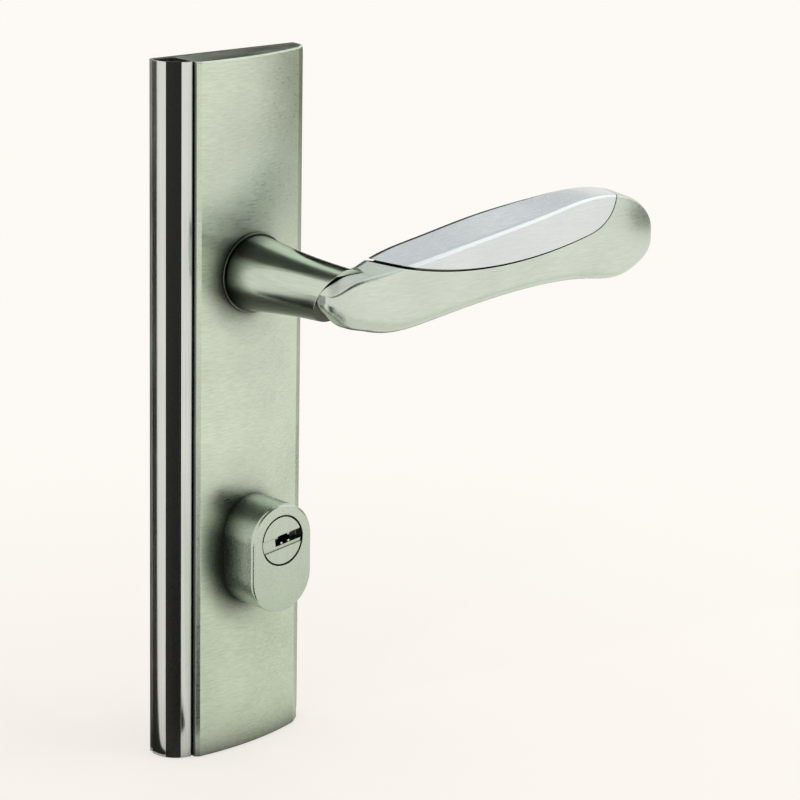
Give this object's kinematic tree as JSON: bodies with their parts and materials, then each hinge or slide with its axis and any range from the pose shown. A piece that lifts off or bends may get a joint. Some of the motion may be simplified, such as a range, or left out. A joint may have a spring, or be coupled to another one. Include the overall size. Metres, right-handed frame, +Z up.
{
  "type": "plate handle lockset",
  "caption": "Door handle unit: tall crowned plate with a polished edge bead, wave-shaped return-sprung lever and a guarded profile cylinder below it.",
  "frame": {"origin": "on the spindle axis, in the plane of the door's face that the base plate's back rests on", "axes": "+X across the plate towards the lever's end, -Y out of the door towards the hand, +Z up"},
  "size_m": [0.1763, 0.1073, 0.246],
  "materials": {
    "cover_plate": "satin nickel, fine brushed",
    "base_plate": "satin nickel",
    "bead_insert": "black",
    "edge_bead": "polished",
    "cover_screws": "zinc plated",
    "bead_screws": "zinc plated",
    "guard_screws": "zinc plated",
    "bolt_posts": "zinc plated",
    "neck_collar": "polished",
    "neck_bush": "moulded",
    "handle_neck": "satin nickel, half polished",
    "spindle": "zinc plated",
    "spindle_grub_screw": "black oxide",
    "lever_joint_screw": "black oxide",
    "thrust_washer": "moulded",
    "retaining_ring": "spring steel",
    "spring_housing": "pressed, zinc plated",
    "stop_pins": "ground",
    "drive_disc": "pressed, zinc plated",
    "cylinder_body": "nickel plated",
    "cylinder_plug": "nickel plated",
    "drill_guard_pins": "hardened, polished",
    "plug_clip": "spring steel",
    "key_pins": "turned",
    "driver_pins": "turned",
    "pin_springs": "spring wire",
    "chamber_plugs": "turned",
    "cylinder_cam": "sintered steel",
    "cylinder_guard": "satin nickel",
    "lever_cap": "fine satin chrome",
    "lever_body": "satin nickel",
    "return_spring": "spring wire"
  },
  "bodies": {
    "plate": {"cover_plate": "cover_plate", "base_plate": "base_plate", "bead_insert": "bead_insert", "edge_bead": "edge_bead", "cover_screws": "cover_screws", "bead_screws": "bead_screws", "guard_screws": "guard_screws", "bolt_posts": "bolt_posts", "neck_collar": "neck_collar", "neck_bush": "neck_bush", "thrust_washer": "thrust_washer", "spring_housing": "spring_housing", "stop_pins": "stop_pins", "cylinder_body": "cylinder_body", "driver_pins": "driver_pins", "pin_springs": "pin_springs", "chamber_plugs": "chamber_plugs", "cylinder_guard": "cylinder_guard", "return_spring": "return_spring"},
    "lever": {"handle_neck": "handle_neck", "lever_body": "lever_body", "lever_cap": "lever_cap", "lever_joint_screw": "lever_joint_screw", "drive_disc": "drive_disc", "spindle": "spindle", "spindle_grub_screw": "spindle_grub_screw", "retaining_ring": "retaining_ring"},
    "cylinder_core": {"cylinder_plug": "cylinder_plug", "drill_guard_pins": "drill_guard_pins", "key_pins": "key_pins", "plug_clip": "plug_clip", "cylinder_cam": "cylinder_cam"}
  },
  "joints": [
    {"name": "lever_turn", "type": "hinge", "parent": "plate", "child": "lever", "pos_m": [0, 0, 0], "axis": [0, 1, 0], "range_deg": [0, 45], "stiffness_Nm_per_rad": 0.6, "springref_deg": -51.57, "deforming": ["return_spring"]},
    {"name": "plug_turn", "type": "hinge", "parent": "plate", "child": "cylinder_core", "pos_m": [0, 0, -0.092], "axis": [0, 1, 0], "continuous": true}
  ]
}
